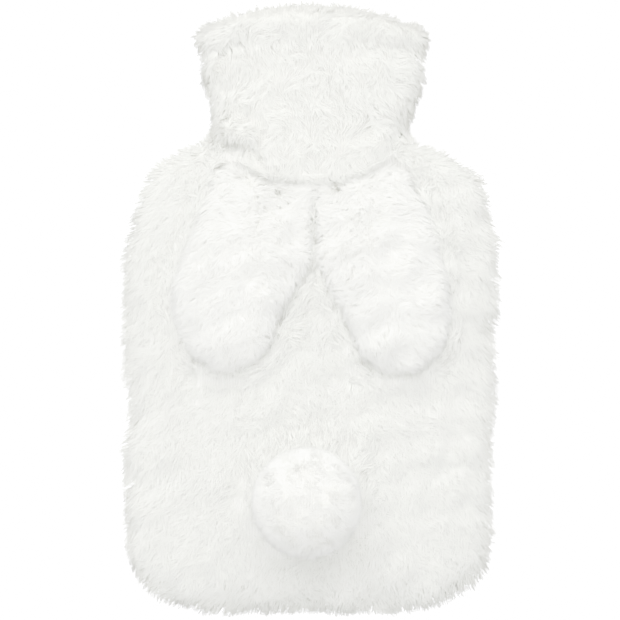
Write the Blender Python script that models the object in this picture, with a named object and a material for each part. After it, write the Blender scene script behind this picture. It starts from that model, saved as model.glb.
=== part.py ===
"""Plush hot water bottle cover with a funnel collar, two ears and a pompom tail.

It lies on its back in its filled shape: width along X, neck towards +Y, front up.
Sizes are in millimetres and are turned to metres where vertices are placed.
"""

import math

import bmesh
import bpy
from mathutils import Vector, noise

MM = 0.001

# Heights and walls
SEAM_HEIGHT = 30.0
WALL = 9.0
SEAM_GAP = 0.3
COLLAR_GAP = 0.5
RESTING_GAP = 1.1

# Shape of a filled section: how square its shoulder is across and upwards
SECTION_ACROSS = 3.0
SECTION_UP = 2.2
INNER_RISE_SHARE = 0.75

# The bag: distance from the bottom edge, half widths to the left and right of the middle
LEFT, RIGHT = 1, 2
BAG_OUTLINE = (
    (0.0, 44.0, 52.0),
    (3.5, 70.0, 66.0),
    (7.5, 85.0, 79.0),
    (12.0, 94.0, 90.0),
    (19.0, 99.0, 97.0),
    (32.0, 106.5, 102.5),
    (60.0, 108.5, 106.5),
    (75.0, 106.5, 107.5),
    (92.0, 108.5, 106.0),
    (118.0, 105.5, 107.0),
    (145.0, 108.5, 108.0),
    (160.0, 109.5, 106.5),
    (187.0, 110.0, 108.5),
    (205.0, 108.0, 110.0),
    (218.0, 105.0, 108.5),
    (230.0, 102.5, 106.5),
    (246.0, 99.5, 102.5),
    (256.0, 96.0, 98.0),
    (264.0, 89.0, 89.0),
    (271.0, 77.0, 74.0),
    (276.0, 64.0, 62.0),
    (279.0, 56.0, 56.0),
)

# The bag: distance from the bottom edge, front above the side seam, back below it
RISE, DROP = 1, 2
BAG_DEPTH = (
    (0.0, 0.0, 0.0),
    (2.0, 11.0, 10.0),
    (6.0, 18.5, 17.0),
    (13.0, 25.0, 24.0),
    (26.0, 31.0, 31.0),
    (50.0, 35.5, 36.0),
    (90.0, 37.5, 38.0),
    (160.0, 37.0, 38.0),
    (215.0, 34.0, 36.0),
    (250.0, 29.5, 32.0),
    (279.0, 25.0, 27.0),
)
BAG_LENGTH = 279.0
BAG_COLUMNS = 32
BAG_ROWS = 46

# The neck seam droops towards the middle of the bag
NECK_DROOP_FRONT = 24.0
NECK_DROOP_BACK = 9.0
DROOP_STARTS = 200.0
DROOP_POWER = 2.3
BOTTOM_ROUND = 12.0
NECK_CALM = 14.0

# The collar: share of its height, half widths left and right, front and back of the seam height
SHARE, COLLAR_LEFT, COLLAR_RIGHT, COLLAR_FRONT, COLLAR_BACK = 0, 1, 2, 3, 4
COLLAR_OUTSIDE = (
    (0.05, 57.5, 57.0, 37.5, 28.0),
    (0.12, 57.5, 58.0, 37.5, 28.0),
    (0.22, 58.0, 60.5, 34.5, 28.0),
    (0.34, 59.5, 63.5, 31.5, 28.5),
    (0.46, 62.0, 66.0, 29.5, 29.0),
    (0.57, 64.5, 67.5, 28.5, 29.5),
    (0.67, 65.0, 67.5, 28.0, 29.5),
    (0.735, 62.5, 65.0, 26.0, 28.0),
    (0.79, 66.0, 68.5, 29.5, 30.5),
    (0.87, 68.0, 70.5, 31.0, 31.0),
    (0.94, 67.5, 69.0, 30.0, 30.5),
    (0.985, 64.5, 65.5, 27.0, 28.0),
)
COLLAR_INSIDE = (
    (1.0, 60.5, 61.5, 23.0, 24.0),
    (0.97, 57.0, 58.0, 19.0, 20.0),
    (0.87, 55.5, 57.0, 17.0, 18.5),
    (0.70, 54.5, 57.0, 17.0, 18.0),
    (0.45, 52.5, 56.0, 18.0, 18.5),
    (0.20, 48.5, 50.0, 19.0, 18.5),
)
COLLAR_TOP = 359.0
COLLAR_TOP_BOW = 14.0
COLLAR_TOP_POWER = 2.4

# The collar's lower lip: how far it stands off the bag, its thickness and its overhang in front,
# the share of them left at the sides and the back, and a gathered puff beside the neck
LIP_STAND = 6.0
LIP_THICK = 5.4
LIP_DROP = 5.0
LIP_AT_SIDES = 0.12
LIP_FADE = 0.7
LIP_LEAST = 1.3
PUFF_ACROSS = -46.0
PUFF_ALONG = 276.0
PUFF_SPREAD = 9.0
PUFF_HEIGHT = 5.0

# The ears: distance from the bottom edge of the bag, left edge, right edge, filled thickness
EAR_THICK = 3
EAR_LEFT = (
    (142.0, -54.0, -45.0, 15.0),
    (144.0, -59.5, -38.5, 16.0),
    (148.0, -64.5, -31.5, 16.5),
    (155.0, -70.5, -24.5, 17.5),
    (167.0, -77.0, -19.0, 18.0),
    (180.0, -79.5, -14.0, 17.5),
    (192.0, -78.5, -7.0, 17.0),
    (206.0, -74.5, 0.4, 16.0),
    (222.0, -68.0, 1.8, 13.5),
    (236.0, -61.0, 1.8, 10.5),
    (252.0, -48.0, 1.5, 5.5),
)
EAR_RIGHT = (
    (140.5, 48.0, 57.5, 15.0),
    (142.5, 41.5, 63.5, 16.0),
    (146.0, 36.0, 69.0, 16.5),
    (153.0, 29.5, 75.0, 17.5),
    (165.0, 22.5, 80.5, 18.0),
    (179.0, 17.5, 82.0, 17.5),
    (192.0, 9.5, 79.5, 17.0),
    (206.0, 4.8, 77.0, 16.0),
    (222.0, 3.2, 73.5, 13.5),
    (236.0, 3.2, 65.0, 10.5),
    (252.0, 3.6, 48.0, 5.5),
)
EAR_COLUMNS = 14
EAR_ROWS = 20
EAR_TIP_ROUND = 12.0
EAR_ROOT_ROUND = 4.0
EAR_UNDER_SHARE = 0.42
EAR_FULLNESS = 2.6
EAR_BENDS_FROM = 222.0
EAR_ROOT_CLEAR = 7.0

# The tail
TAIL_ACROSS = -1.8
TAIL_ALONG = 67.5
TAIL_CORE_RADIUS = 26.8
TAIL_CENTRE_ABOVE = 22.0
TAIL_CUTS = 5
TAIL_LOCK_LENGTH = 5.2
TAIL_LOCK_CLEAR = 1.5
TAIL_LOWEST_LOCK = -0.7

# Pile: rounded clumps with shallow valleys between them, and the pompom's locks
CLUMP_HEIGHT = 6.5
CLUMP_VALLEY = 0.2
CLUMP_ACROSS = 17.0
CLUMP_ALONG = 23.0
CALM_MARGIN = 9.0
LOCK_STEPS = ((0.55, 0.84), (0.45, 0.46))
LOCK_LEAN = 0.3
LOCK_UNEVEN = 0.35
LOCK_SHIFT = 0.12
LOCK_SEED = 11
LOCK_REACH = 3.0
CORNER_REACH = 0.3

PLUSH_WHITE = (0.913, 0.922, 0.888, 1.0)
PLUSH_SHADE = (0.871, 0.879, 0.847, 1.0)
TAIL_WHITE = (0.939, 0.947, 0.921, 1.0)
PLUSH_ROUGHNESS = 0.9


def smooth(value):
    """Eases a share from 0 to 1."""
    share = min(max(value, 0.0), 1.0)
    return share * share * (3.0 - 2.0 * share)


def slope_at(table, column, row):
    """Slope of a table column at one of its rows, flat where the column turns."""
    last = len(table) - 1
    before = max(row - 1, 0)
    after = min(row + 1, last)
    below = table[row][column] - table[before][column]
    above = table[after][column] - table[row][column]
    run_below = table[row][0] - table[before][0]
    run_above = table[after][0] - table[row][0]
    if row == 0:
        return above / run_above
    if row == last:
        return below / run_below
    if below * above <= 0.0:
        return 0.0
    rate_below = below / run_below
    rate_above = above / run_above
    return 2.0 * rate_below * rate_above / (rate_below + rate_above)


def read(table, column, place):
    """One column of a section table between its rows, without overshoot."""
    last = len(table) - 1
    place = min(max(place, table[0][0]), table[last][0])
    row = 0
    while row < last - 1 and place > table[row + 1][0]:
        row += 1
    run = table[row + 1][0] - table[row][0]
    share = (place - table[row][0]) / run
    start = table[row][column]
    end = table[row + 1][column]
    start_slope = slope_at(table, column, row) * run
    end_slope = slope_at(table, column, row + 1) * run
    rest = 1.0 - share
    value = start * (1.0 + 2.0 * share) * rest * rest
    value += start_slope * share * rest * rest
    value += end * (3.0 - 2.0 * share) * share * share
    value -= end_slope * share * share * rest
    return value


def arch(across):
    """Height share of a filled section at a share of its half width."""
    inside = max(1.0 - abs(across) ** SECTION_ACROSS, 0.0)
    return inside ** (1.0 / SECTION_UP)


def even_places(curve, places, count):
    """Places on a curve that divide its length into even steps."""
    points = [Vector(curve(place)) for place in places]
    lengths = [0.0]
    for before, after in zip(points, points[1:]):
        lengths.append(lengths[-1] + (after - before).length)
    chosen = []
    index = 0
    for step in range(count + 1):
        wanted = lengths[-1] * step / count
        while index < len(lengths) - 2 and lengths[index + 1] < wanted:
            index += 1
        run = max(lengths[index + 1] - lengths[index], 1e-9)
        share = min(max((wanted - lengths[index]) / run, 0.0), 1.0)
        chosen.append(places[index] + share * (places[index + 1] - places[index]))
    return chosen


def half_width(along, across):
    """Half width of the bag on the side that a share across lies on."""
    column = LEFT if across < 0.0 else RIGHT
    return read(BAG_OUTLINE, column, along)


SAMPLES = 400
REFERENCE_HALF_WIDTH = 105.0
REFERENCE_RISE = 36.0
ACROSS_PLACES = even_places(
    lambda share: (REFERENCE_HALF_WIDTH * share, REFERENCE_RISE * arch(share), 0.0),
    [math.sin(math.pi * (step / SAMPLES - 0.5)) for step in range(SAMPLES + 1)],
    BAG_COLUMNS,
)
ROW_PLACES = even_places(
    lambda along: (half_width(along, -1.0), along, 0.0),
    [BAG_LENGTH * step / SAMPLES for step in range(SAMPLES + 1)],
    BAG_ROWS,
)


def droop(across, along, depth):
    """How far a row near the neck hangs below its ends."""
    growth = smooth((along - DROOP_STARTS) / (BAG_LENGTH - DROOP_STARTS))
    return depth * (1.0 - abs(across) ** DROOP_POWER) * growth


def front_height(x, y):
    """Height of the front panel's plain surface over a place in plan."""
    along = y
    share = 0.0
    for _ in range(14):
        share = x / half_width(along, x)
        share = min(max(share, -1.0), 1.0)
        along = min(y + droop(share, along, NECK_DROOP_FRONT), BAG_LENGTH)
    return SEAM_HEIGHT + read(BAG_DEPTH, RISE, along) * arch(share)


def lump(x, y, z):
    """How far a clump of pile swells out, or a valley between clumps sinks in, at a place."""
    place = Vector((x / CLUMP_ACROSS, y / CLUMP_ALONG, z / CLUMP_ACROSS))
    return CLUMP_HEIGHT * (abs(noise.noise(place)) - CLUMP_VALLEY)


def outside_ear(table, x, y):
    """0 under an ear, rising to 1 a little way outside it."""
    left = read(table, LEFT, y)
    right = read(table, RIGHT, y)
    away = max(left - x, x - right, table[0][0] - y)
    return smooth(away / CALM_MARGIN)


def bare_share(x, y):
    """1 where pile may swell, 0 where a piece lies on the panel or the neck seam runs."""
    from_tail = math.hypot(x - TAIL_ACROSS, y - TAIL_ALONG)
    share = smooth((from_tail - TAIL_CORE_RADIUS - TAIL_LOCK_LENGTH) / CALM_MARGIN)
    share *= outside_ear(EAR_LEFT, x, y)
    share *= outside_ear(EAR_RIGHT, x, y)
    return share


def grid_sheet(mesh, columns, rows, place):
    """A grid of the given size with each vertex placed by its column and row."""
    made = bmesh.ops.create_grid(mesh, x_segments=columns, y_segments=rows, size=1.0)
    sheet = {}
    for vertex in made["verts"]:
        column = round((vertex.co.x + 1.0) * 0.5 * columns)
        row = round((vertex.co.y + 1.0) * 0.5 * rows)
        sheet[column, row] = vertex
    for (column, row), vertex in sheet.items():
        vertex.co = Vector(place(column, row)) * MM
    return sheet


def rim(sheet, columns, rows):
    """The boundary of a grid sheet, in order."""
    keys = [(column, 0) for column in range(columns)]
    keys += [(columns, row) for row in range(rows)]
    keys += [(column, rows) for column in range(columns, 0, -1)]
    keys += [(0, row) for row in range(rows, 0, -1)]
    return [sheet[key] for key in keys]


def face_outwards(mesh):
    """Points every face of a closed mesh outwards."""
    bmesh.ops.recalc_face_normals(mesh, faces=mesh.faces)
    if mesh.calc_volume(signed=True) < 0.0:
        bmesh.ops.reverse_faces(mesh, faces=mesh.faces)


def loft_rims(mesh, fine, coarse):
    """Joins a rim to one with half its vertices."""
    count = len(coarse)
    for index in range(count):
        first = fine[2 * index]
        middle = fine[2 * index + 1]
        last = fine[(2 * index + 2) % len(fine)]
        near = coarse[index]
        far = coarse[(index + 1) % count]
        mesh.faces.new((first, middle, near))
        mesh.faces.new((middle, far, near))
        mesh.faces.new((middle, last, far))


def raise_lock(mesh, face, direction, length):
    """Draws a face out into one four-sided lock whose root stays fused to the backing."""
    for rise, share in LOCK_STEPS:
        made = bmesh.ops.extrude_discrete_faces(mesh, faces=[face])
        face = made["faces"][0]
        centre = face.calc_center_median()
        for vertex in face.verts:
            vertex.co = centre + (vertex.co - centre) * share + direction * length * rise * MM


def panel_vertex(across, along, front):
    """Outer surface of a panel of the bag at a share across and a distance along."""
    depth = NECK_DROOP_FRONT if front else NECK_DROOP_BACK
    x = across * half_width(along, across)
    y = along - droop(across, along, depth)
    height = arch(across)
    swell = lump(x, y, SEAM_HEIGHT)
    from_neck = smooth((BAG_LENGTH - along) / NECK_CALM)
    end = 1.0 - smooth(along / BOTTOM_ROUND)
    swell *= from_neck
    x += swell * across * abs(across) * (1.0 - end)
    y -= swell * end
    if front:
        raised = read(BAG_DEPTH, RISE, along) * height
        z = SEAM_HEIGHT + SEAM_GAP / 2.0 + raised
        z += swell * height * (1.0 - end) * bare_share(x, y)
    else:
        z = SEAM_HEIGHT - SEAM_GAP / 2.0 - read(BAG_DEPTH, DROP, along) * height
        z -= swell * height * (1.0 - end) * smooth(z / CLUMP_HEIGHT)
        z = max(z, 0.0)
    return x, y, z


def panel_inside(across, along, front):
    """Inner surface of a panel of the bag."""
    depth = NECK_DROOP_FRONT if front else NECK_DROOP_BACK
    width = half_width(along, across) - WALL
    y = WALL + along * (BAG_LENGTH - WALL) / BAG_LENGTH
    y -= droop(across, along, depth)
    height = arch(across)
    if front:
        raised = read(BAG_DEPTH, RISE, along) * INNER_RISE_SHARE
        return across * width, y, SEAM_HEIGHT + SEAM_GAP / 2.0 + raised * height
    lowered = min(read(BAG_DEPTH, DROP, along) * INNER_RISE_SHARE, SEAM_HEIGHT - WALL)
    return across * width, y, SEAM_HEIGHT - SEAM_GAP / 2.0 - lowered * height


def make_panel(front):
    """One half of the bag, a filled shell open at the neck and at the side seam."""
    mesh = bmesh.new()

    def outer(column, row):
        return panel_vertex(ACROSS_PLACES[column], ROW_PLACES[row], front)

    def inner(column, row):
        return panel_inside(ACROSS_PLACES[2 * column], ROW_PLACES[2 * row], front)

    outside = grid_sheet(mesh, BAG_COLUMNS, BAG_ROWS, outer)
    inside = grid_sheet(mesh, BAG_COLUMNS // 2, BAG_ROWS // 2, inner)
    fine = rim(outside, BAG_COLUMNS, BAG_ROWS)
    coarse = rim(inside, BAG_COLUMNS // 2, BAG_ROWS // 2)
    loft_rims(mesh, fine, coarse)
    face_outwards(mesh)
    return mesh


def collar_foot(across, front):
    """Where the neck seam runs, as a distance along the cover."""
    depth = NECK_DROOP_FRONT if front else NECK_DROOP_BACK
    return BAG_LENGTH - droop(across, BAG_LENGTH, depth) + COLLAR_GAP


def tube_point(across, front, left, right, up, down, along):
    """A point on a filled section given by its half widths and its front and back."""
    x = across * (left if across < 0.0 else right)
    if front:
        return Vector((x, along, SEAM_HEIGHT + up * arch(across)))
    return Vector((x, along, SEAM_HEIGHT - down * arch(across)))


def lip_points(across, front):
    """The rolled lower lip of the collar, from the neck seam to its outer face."""
    width = half_width(BAG_LENGTH, across)
    up = read(BAG_DEPTH, RISE, BAG_LENGTH)
    down = read(BAG_DEPTH, DROP, BAG_LENGTH)
    foot = collar_foot(across, front)
    share = LIP_AT_SIDES
    if front:
        share += (1.0 - LIP_AT_SIDES) * (1.0 - across * across) ** LIP_FADE
    under = LIP_STAND * share
    nose = (LIP_STAND + 0.5 * LIP_THICK) * share + LIP_LEAST
    over = (LIP_STAND + LIP_THICK) * share + LIP_LEAST
    hang = LIP_DROP * share
    stations = (
        (0.0, 0.0),
        (under, 0.0),
        (under + LIP_LEAST, -0.7 * hang),
        (nose, -hang),
        (over, -0.5 * hang),
    )
    points = []
    for out, shift in stations:
        low = min(down + out, SEAM_HEIGHT)
        side = width + out
        points.append(tube_point(across, front, side, side, up + out, low, foot + shift))
    return points


def inner_foot(across, front):
    """The collar's inner corner at the neck seam, level with the inside of the bag."""
    width = half_width(BAG_LENGTH, across) - WALL
    up = read(BAG_DEPTH, RISE, BAG_LENGTH) * INNER_RISE_SHARE
    down = read(BAG_DEPTH, DROP, BAG_LENGTH) * INNER_RISE_SHARE
    return tube_point(across, front, width, width, up, down, collar_foot(across, front))


def collar_wall(row, across, front):
    """A point of the collar's wall from one row of its tables."""
    foot = collar_foot(across, front)
    top = COLLAR_TOP - COLLAR_TOP_BOW * abs(across) ** COLLAR_TOP_POWER
    along = foot + (top - foot) * row[SHARE]
    sides = (row[COLLAR_LEFT], row[COLLAR_RIGHT])
    depths = (row[COLLAR_FRONT], row[COLLAR_BACK])
    return tube_point(across, front, *sides, *depths, along)


def swollen(point, across, front):
    """A collar point moved out by the pile's lumps and by the gathered puff beside the neck."""
    swell = lump(point.x, point.y, point.z)
    if front:
        far = math.hypot(point.x - PUFF_ACROSS, point.y - PUFF_ALONG) / PUFF_SPREAD
        swell += PUFF_HEIGHT * math.exp(-far * far)
    out = Vector((across * abs(across), 0.0, arch(across) if front else -arch(across)))
    moved = point + out * swell
    moved.z = max(moved.z, 0.0)
    return moved


def collar_profile(across, front):
    """The collar's wall at one place round it: lip, outside, hem, inside."""
    points = lip_points(across, front)
    for row in COLLAR_OUTSIDE:
        points.append(swollen(collar_wall(row, across, front), across, front))
    for row in COLLAR_INSIDE:
        points.append(collar_wall(row, across, front))
    points.append(inner_foot(across, front))
    return points


def make_collar():
    """The collar as a closed loft of its profile taken once round the neck."""
    mesh = bmesh.new()
    around = [(across, True) for across in ACROSS_PLACES[:-1]]
    around += [(across, False) for across in reversed(ACROSS_PLACES[1:])]
    profiles = [collar_profile(across, front) for across, front in around]
    size = len(profiles[0])
    loops = []
    for profile in profiles:
        loops.append([mesh.verts.new(point * MM) for point in profile])
    for index, loop in enumerate(loops):
        following = loops[(index + 1) % len(loops)]
        for step in range(size):
            up = (step + 1) % size
            mesh.faces.new((loop[step], following[step], following[up], loop[up]))
    face_outwards(mesh)
    return mesh


def ear_fullness(table, across, along):
    """Share of an ear's thickness at a share across, rounded off at its tip and its root."""
    body = (1.0 - abs(across) ** EAR_FULLNESS) ** 0.5
    from_tip = min((along - table[0][0]) / EAR_TIP_ROUND, 1.0)
    from_root = min((table[-1][0] - along) / EAR_ROOT_ROUND, 1.0)
    body *= math.sqrt(max(1.0 - (1.0 - from_tip) ** 2, 0.0))
    body *= math.sqrt(max(1.0 - (1.0 - from_root) ** 2, 0.0))
    return body


def make_ear(table):
    """One filled flap lying on the front panel, its root under the collar's lip."""
    mesh = bmesh.new()
    first = table[0][0]
    last = table[-1][0]
    rows = even_places(
        lambda along: (read(table, RIGHT, along) - read(table, LEFT, along), along, 0.0),
        [first + (last - first) * step / SAMPLES for step in range(SAMPLES + 1)],
        EAR_ROWS,
    )

    def at(column, row, upper):
        across = math.sin(math.pi * 0.5 * (2.0 * column / EAR_COLUMNS - 1.0))
        along = rows[row]
        left = read(table, LEFT, along)
        right = read(table, RIGHT, along)
        x = (left + right) / 2.0 + across * (right - left) / 2.0
        share = min(abs(x) / half_width(BAG_LENGTH, x), 1.0)
        bend = smooth((along - EAR_BENDS_FROM) / (last - EAR_BENDS_FROM))
        hang = NECK_DROOP_FRONT * share**DROOP_POWER
        y = along + bend * (hang - EAR_ROOT_CLEAR * share**3)
        thick = read(table, EAR_THICK, along)
        body = ear_fullness(table, across, along)
        swell = lump(x, y, SEAM_HEIGHT + thick) * body
        base = front_height(x, y) + RESTING_GAP + thick * EAR_UNDER_SHARE
        if upper:
            return x, y, base + thick * (1.0 - EAR_UNDER_SHARE) * body + swell
        return x, y, base - thick * EAR_UNDER_SHARE * body**0.5

    grid_sheet(mesh, EAR_COLUMNS, EAR_ROWS, lambda column, row: at(column, row, True))
    grid_sheet(mesh, EAR_COLUMNS, EAR_ROWS, lambda column, row: at(column, row, False))
    bmesh.ops.remove_doubles(mesh, verts=mesh.verts, dist=0.00001)
    face_outwards(mesh)
    return mesh


def make_tail():
    """A pompom: a core pressed flat where it is sewn on, and locks standing out all round."""
    noise.seed_set(LOCK_SEED)
    mesh = bmesh.new()
    bmesh.ops.create_cube(mesh, size=2.0)
    bmesh.ops.subdivide_edges(mesh, edges=mesh.edges, cuts=TAIL_CUTS, use_grid_fill=True)
    seat = front_height(TAIL_ACROSS, TAIL_ALONG)
    centre = Vector((TAIL_ACROSS, TAIL_ALONG, seat + TAIL_CENTRE_ABOVE))
    for vertex in mesh.verts:
        spread = Vector([math.tan(math.pi * 0.25 * value) for value in vertex.co])
        shift = noise.noise_vector(spread / CORNER_REACH) * LOCK_SHIFT
        out = (spread.normalized() + shift).normalized()
        point = centre + out * TAIL_CORE_RADIUS
        floor = front_height(point.x, point.y) + RESTING_GAP
        point.z = max(point.z, floor)
        vertex.co = point * MM
    face_outwards(mesh)
    chosen = []
    for face in mesh.faces:
        middle = face.calc_center_median() / MM
        shift = noise.noise_vector(middle / LOCK_REACH)
        direction = ((middle - centre).normalized() + shift * LOCK_LEAN).normalized()
        length = TAIL_LOCK_LENGTH * (1.0 + LOCK_UNEVEN * shift.z)
        tip = middle + direction * length
        if tip.z > front_height(tip.x, tip.y) + TAIL_LOCK_CLEAR and direction.z > TAIL_LOWEST_LOCK:
            chosen.append((face, direction, length))
    for face, direction, length in chosen:
        raise_lock(mesh, face, direction, length)
    return mesh


def plush(name, colour):
    """A matt pile material."""
    material = bpy.data.materials.new(name)
    material.use_nodes = True
    shader = material.node_tree.nodes["Principled BSDF"]
    shader.inputs["Base Color"].default_value = colour
    shader.inputs["Roughness"].default_value = PLUSH_ROUGHNESS
    return material


def middle_of(meshes):
    """The middle of the cover's underside, from the reach of all its pieces."""
    places = [vertex.co for mesh in meshes for vertex in mesh.verts]
    low = [min(place[axis] for place in places) for axis in range(3)]
    high = [max(place[axis] for place in places) for axis in range(3)]
    return Vector(((low[0] + high[0]) / 2.0, (low[1] + high[1]) / 2.0, low[2]))


def add_piece(collection, name, mesh, colour):
    """A mesh as an object of the cover."""
    data = bpy.data.meshes.new(name)
    mesh.to_mesh(data)
    mesh.free()
    data.materials.append(plush(name + "_pile", colour))
    piece = bpy.data.objects.new(name, data)
    collection.objects.link(piece)


for leftover in list(bpy.data.objects):
    bpy.data.objects.remove(leftover)

cover = bpy.data.collections.new("hot_water_bottle_cover")
bpy.context.scene.collection.children.link(cover)

pieces = (
    ("back_panel", make_panel(False), PLUSH_SHADE),
    ("front_panel", make_panel(True), PLUSH_WHITE),
    ("collar", make_collar(), PLUSH_WHITE),
    ("ear_left", make_ear(EAR_LEFT), PLUSH_WHITE),
    ("ear_right", make_ear(EAR_RIGHT), PLUSH_WHITE),
    ("tail", make_tail(), TAIL_WHITE),
)
middle = middle_of([mesh for _, mesh, _ in pieces])
for name, mesh, colour in pieces:
    for vertex in mesh.verts:
        vertex.co -= middle
    add_piece(cover, name, mesh, colour)
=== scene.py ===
import math

import bmesh
import bpy
import numpy as np
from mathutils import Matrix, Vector
from mathutils.bvhtree import BVHTree
from mathutils.kdtree import KDTree


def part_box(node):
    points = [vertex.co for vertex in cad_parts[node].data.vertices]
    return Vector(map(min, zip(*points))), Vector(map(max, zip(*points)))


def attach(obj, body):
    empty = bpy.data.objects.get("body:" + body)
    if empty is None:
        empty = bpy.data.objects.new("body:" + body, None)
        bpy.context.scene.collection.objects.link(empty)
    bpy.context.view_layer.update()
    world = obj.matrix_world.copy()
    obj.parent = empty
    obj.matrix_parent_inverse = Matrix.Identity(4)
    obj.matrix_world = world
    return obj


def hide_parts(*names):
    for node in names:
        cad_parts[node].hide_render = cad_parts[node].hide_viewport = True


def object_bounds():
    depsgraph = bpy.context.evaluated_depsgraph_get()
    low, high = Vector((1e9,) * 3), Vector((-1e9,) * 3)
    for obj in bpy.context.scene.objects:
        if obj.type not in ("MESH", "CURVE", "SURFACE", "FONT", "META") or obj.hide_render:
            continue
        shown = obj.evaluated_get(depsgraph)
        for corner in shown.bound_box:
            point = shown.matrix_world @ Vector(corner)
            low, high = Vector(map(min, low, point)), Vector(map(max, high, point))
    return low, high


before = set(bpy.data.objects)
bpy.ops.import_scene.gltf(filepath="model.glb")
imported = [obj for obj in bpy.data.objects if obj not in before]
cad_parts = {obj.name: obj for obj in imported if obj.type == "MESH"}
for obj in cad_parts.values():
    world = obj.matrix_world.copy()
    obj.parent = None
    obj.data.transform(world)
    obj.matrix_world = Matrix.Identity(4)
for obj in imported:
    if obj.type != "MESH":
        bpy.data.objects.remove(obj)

cad_low, cad_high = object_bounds()

MM = 0.001

# ---------------------------------------------------------------------------
# The studio: the cover lies on a white sweep, seen from straight above with its
# mouth towards the top of the picture. A broad soft light comes from that side
# and white walls fill the shadows.
# ---------------------------------------------------------------------------
PHOTO_PIXELS = 620
COVER_PIXELS = 612
COVER_ABOVE_MIDDLE_PIXELS = 1
CAMERA_HEIGHT = 2.4
SIDE_SEAM_HEIGHT = 30 * MM
SENSOR_MM = 36.0


def linear(code):
    """An sRGB hex colour as linear red, green, blue and alpha."""
    shares = [int(code[place:place + 2], 16) / 255 for place in (1, 3, 5)]
    turned = [s / 12.92 if s <= 0.04045 else ((s + 0.055) / 1.055) ** 2.4 for s in shares]
    return (*turned, 1.0)


def add_node(tree, kind, settings=(), links=()):
    """Adds a node, sets its values and inputs, and links sockets into it."""
    node = tree.nodes.new(kind)
    for key, value in dict(settings).items():
        if isinstance(key, str) and hasattr(node, key):
            setattr(node, key, value)
        else:
            node.inputs[key].default_value = value
    for key, socket in dict(links).items():
        tree.links.new(socket, node.inputs[key])
    return node


def new_material(name):
    """An empty node material and its Principled shader."""
    material = bpy.data.materials.new(name)
    material.use_nodes = True
    tree = material.node_tree
    tree.nodes.clear()
    shader = add_node(tree, "ShaderNodeBsdfPrincipled")
    add_node(tree, "ShaderNodeOutputMaterial", links={"Surface": shader.outputs["BSDF"]})
    return material, tree, shader


view_side = (cad_high.y - cad_low.y) * PHOTO_PIXELS / COVER_PIXELS
pixel = view_side / PHOTO_PIXELS
camera_data = bpy.data.cameras.new("camera")
camera_data.sensor_width = SENSOR_MM
camera_data.lens = SENSOR_MM * (CAMERA_HEIGHT - SIDE_SEAM_HEIGHT) / view_side
camera = bpy.data.objects.new("camera", camera_data)
camera.location = (0.0, -COVER_ABOVE_MIDDLE_PIXELS * pixel, CAMERA_HEIGHT)
bpy.context.scene.collection.objects.link(camera)
bpy.context.scene.camera = camera

bpy.context.scene.view_settings.view_transform = "Standard"
bpy.context.scene.view_settings.look = "None"
# The camera's soft shoulder: light in, share of white out
LIGHTEST = 4.0
SHOULDER = (
    (0.0, 0.0), (0.1, 0.3), (0.25, 0.5), (0.5, 0.66), (0.8, 0.77),
    (1.2, 0.85), (1.6, 0.91), (2.2, 0.975), (3.0, 1.0), (4.0, 1.0),
)
bpy.context.scene.view_settings.use_curve_mapping = True
film = bpy.context.scene.view_settings.curve_mapping
film.white_level = (LIGHTEST, LIGHTEST, LIGHTEST)
curve = film.curves[3]
curve.points[0].location = (0.0, 0.0)
curve.points[-1].location = (1.0, 1.0)
for light_in, light_out in SHOULDER[1:-1]:
    curve.points.new(light_in / LIGHTEST, light_out)
for point in curve.points:
    point.handle_type = "AUTO_CLAMPED"
film.extend = "HORIZONTAL"
film.update()

world = bpy.data.worlds.new("white_room")
bpy.context.scene.world = world
world.use_nodes = True
backdrop = world.node_tree.nodes["Background"]
backdrop.inputs["Color"].default_value = (0.98, 0.99, 1.0, 1.0)
# The room is lighter on the softbox's side
DARKER_SIDE = 0.95
LIGHTER_SIDE = 1.65
way = add_node(world.node_tree, "ShaderNodeTexCoord")
parts = add_node(
    world.node_tree, "ShaderNodeSeparateXYZ", links={"Vector": way.outputs["Generated"]}
)
room = add_node(
    world.node_tree, "ShaderNodeMapRange",
    {"From Min": -1.0, "From Max": 1.0, "To Min": DARKER_SIDE, "To Max": LIGHTER_SIDE},
    {"Value": parts.outputs["Y"]},
)
world.node_tree.links.new(room.outputs["Result"], backdrop.inputs["Strength"])

FLOOR_SIDE = 8.0
PAPER_GLOW = 8.0
bpy.ops.object.select_all(action="DESELECT")
bpy.ops.mesh.primitive_plane_add(size=FLOOR_SIDE, location=(0.0, 0.0, 0.0))
floor = bpy.context.object
floor.name = "floor"
# Matt white paper sweep: the camera sees it past white, as in the photo, while it lights the
# cover only as plain paper does
paper, paper_tree, paper_shader = new_material("matt_white_paper")
paper_shader.inputs["Base Color"].default_value = linear("#8C8C8C")
paper_shader.inputs["Roughness"].default_value = 1.0
paper_shader.inputs["Specular IOR Level"].default_value = 0.0
paper_shader.inputs["Emission Color"].default_value = (1.0, 1.0, 1.0, 1.0)
ray = add_node(paper_tree, "ShaderNodeLightPath")
glow = add_node(
    paper_tree, "ShaderNodeMath", {"operation": "MULTIPLY", 1: PAPER_GLOW},
    {0: ray.outputs["Is Camera Ray"]},
)
paper_tree.links.new(glow.outputs[0], paper_shader.inputs["Emission Strength"])
floor.data.materials.append(paper)


SOFTBOX_COLOUR = (0.99, 1.0, 0.90)
COVER_MIDDLE = (0.0, 0.0, 0.03)


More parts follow.
